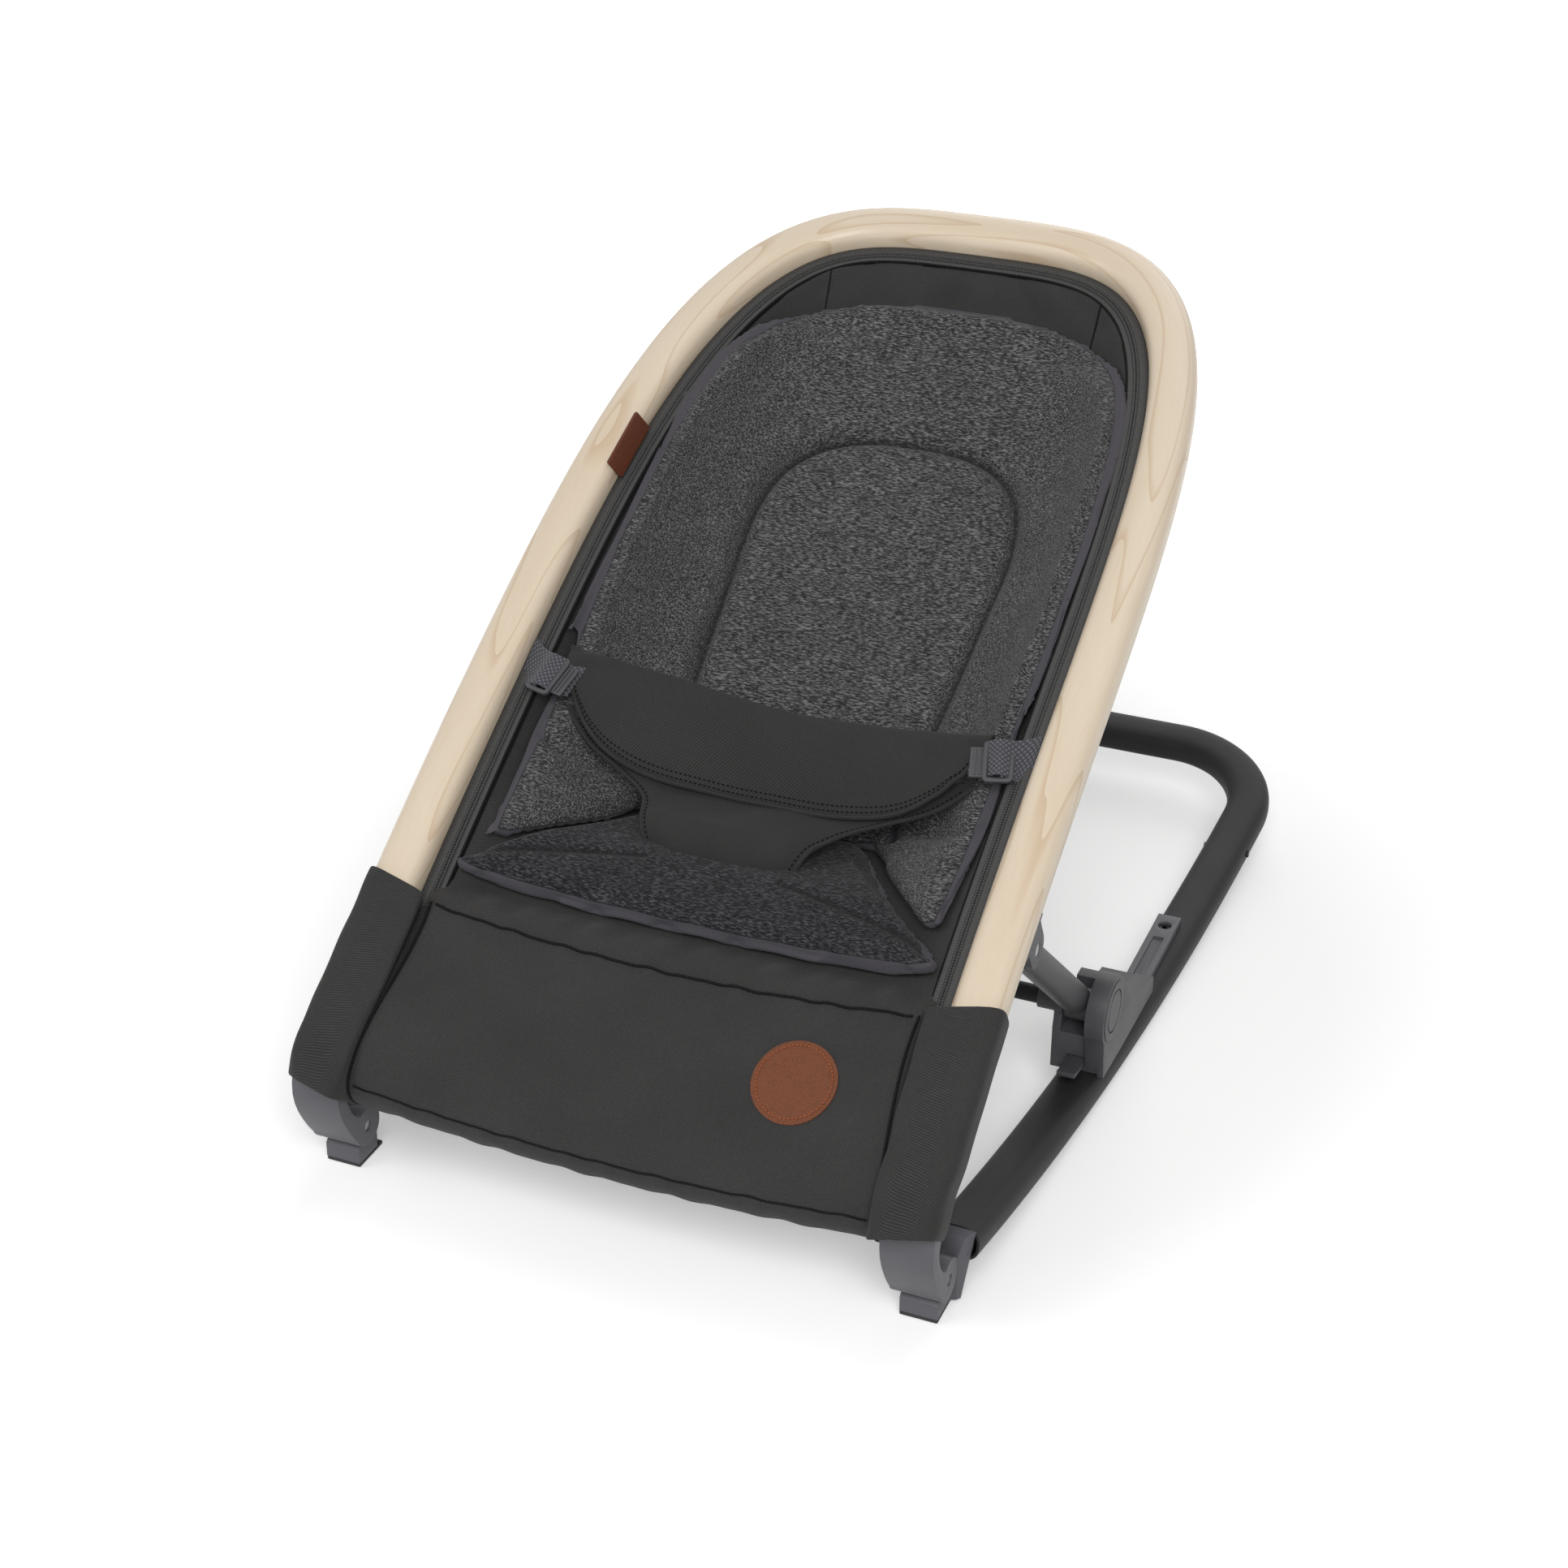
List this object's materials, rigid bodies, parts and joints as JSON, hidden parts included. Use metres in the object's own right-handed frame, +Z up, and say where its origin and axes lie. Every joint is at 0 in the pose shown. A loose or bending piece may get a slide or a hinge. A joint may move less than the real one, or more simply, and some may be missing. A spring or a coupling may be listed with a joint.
{
  "type": "baby bouncer seat",
  "caption": "Reclining baby bouncer: a bent wooden arch with a padded sling, hinged at the front to a rocker base and propped by struts on locking sliders.",
  "frame": {"origin": "on the floor under the middle of the whole seat at rest", "axes": "+Z up; -Y towards the front feet; +X to the right in a view from the front; X = 0 is the plane of symmetry"},
  "size_m": [0.4526, 0.6619, 0.4232],
  "materials": {
    "tube_paint": "satin powder coat",
    "maple": "clear satin lacquer",
    "steel": "zinc plated",
    "black_screw": "black",
    "rubber": "matt",
    "badge_leather": "smooth",
    "tag_leather": "smooth",
    "zip_tape": "woven tape",
    "webbing": "woven webbing",
    "knit": "heather knit",
    "twill": "twill",
    "dark_plastic": "fine texture",
    "grey_plastic": "fine texture"
  },
  "bodies": {
    "base": {"base_tube": "tube_paint", "front_foot_left": "grey_plastic", "front_foot_right": "grey_plastic", "foot_sole_left": "rubber", "foot_sole_right": "rubber", "track_left": "grey_plastic", "track_right": "grey_plastic", "hinge_pins": "steel", "track_screws": "black_screw", "stand_pins": "steel"},
    "seat": {"wood_arch": "maple", "arm_tube_left": "tube_paint", "arm_tube_right": "tube_paint", "elbow_left": "grey_plastic", "elbow_right": "grey_plastic", "strut_bracket_left": "dark_plastic", "strut_bracket_right": "dark_plastic", "bracket_screws": "steel", "strut_pins": "steel", "zip_band": "zip_tape", "sling_seat": "twill", "sling_back": "twill", "front_panel": "twill", "sleeve_left": "twill", "sleeve_right": "twill", "pad_seat": "knit", "pad_lumbar": "knit", "pad_back": "knit", "waist_flap": "twill", "crotch_flap": "twill", "side_strap_left": "webbing", "side_strap_right": "webbing", "strap_adjuster_left": "dark_plastic", "strap_adjuster_right": "dark_plastic", "leather_badge": "badge_leather", "leather_tag": "tag_leather"},
    "struts": {"strut_left": "grey_plastic", "strut_right": "grey_plastic", "strut_foot_left": "dark_plastic", "strut_foot_right": "dark_plastic", "strut_head_left": "dark_plastic", "strut_head_right": "dark_plastic"},
    "slider": {"hub_left": "dark_plastic", "hub_right": "dark_plastic", "hub_caps": "grey_plastic", "cross_bar": "tube_paint", "bar_collars": "dark_plastic", "lock_pins": "steel", "lock_springs": "steel"},
    "release_left": {"release_lever_left": "dark_plastic"},
    "release_right": {"release_lever_right": "dark_plastic"},
    "rear_stand_left": {"rear_stand_left": "grey_plastic"},
    "rear_stand_right": {"rear_stand_right": "grey_plastic"}
  },
  "joints": [
    {"name": "seat_recline", "type": "hinge", "parent": "base", "child": "seat", "pos_m": [0, -0.30257, 0.027], "axis": [1, 0, 0], "range_deg": [-28, 0], "deforming": ["pad_lumbar", "sling_seat"]},
    {"name": "strut_fold", "type": "hinge", "parent": "seat", "child": "struts", "pos_m": [0, -0.16195, 0.15182], "axis": [1, 0, 0], "range_deg": [0, 68]},
    {"name": "slider_turn", "type": "hinge", "parent": "struts", "child": "slider", "pos_m": [0, -0.07147, 0.0627], "axis": [1, 0, 0], "range_deg": [-37, 0]},
    {"name": "release_lever_press_left", "type": "hinge", "parent": "slider", "child": "release_left", "pos_m": [0, -0.07907, 0.03113], "axis": [1, 0, 0], "range_deg": [-10, 0], "stiffness_Nm_per_rad": 0.4, "springref_deg": 2.86},
    {"name": "release_lever_press_right", "type": "hinge", "parent": "slider", "child": "release_right", "pos_m": [0, -0.07907, 0.03113], "axis": [1, 0, 0], "range_deg": [-10, 0], "stiffness_Nm_per_rad": 0.4, "springref_deg": 2.86},
    {"name": "rear_stand_fold_left", "type": "hinge", "parent": "base", "child": "rear_stand_left", "pos_m": [0, 0.20943, 0.02348], "axis": [1, 0, 0], "range_deg": [0, 51]},
    {"name": "rear_stand_fold_right", "type": "hinge", "parent": "base", "child": "rear_stand_right", "pos_m": [0, 0.20943, 0.02348], "axis": [1, 0, 0], "range_deg": [0, 51]}
  ],
  "couplings": [
    {"joint": "strut_fold", "follows": "seat_recline", "ratio": -2.425},
    {"joint": "slider_turn", "follows": "seat_recline", "ratio": 1.299}
  ]
}
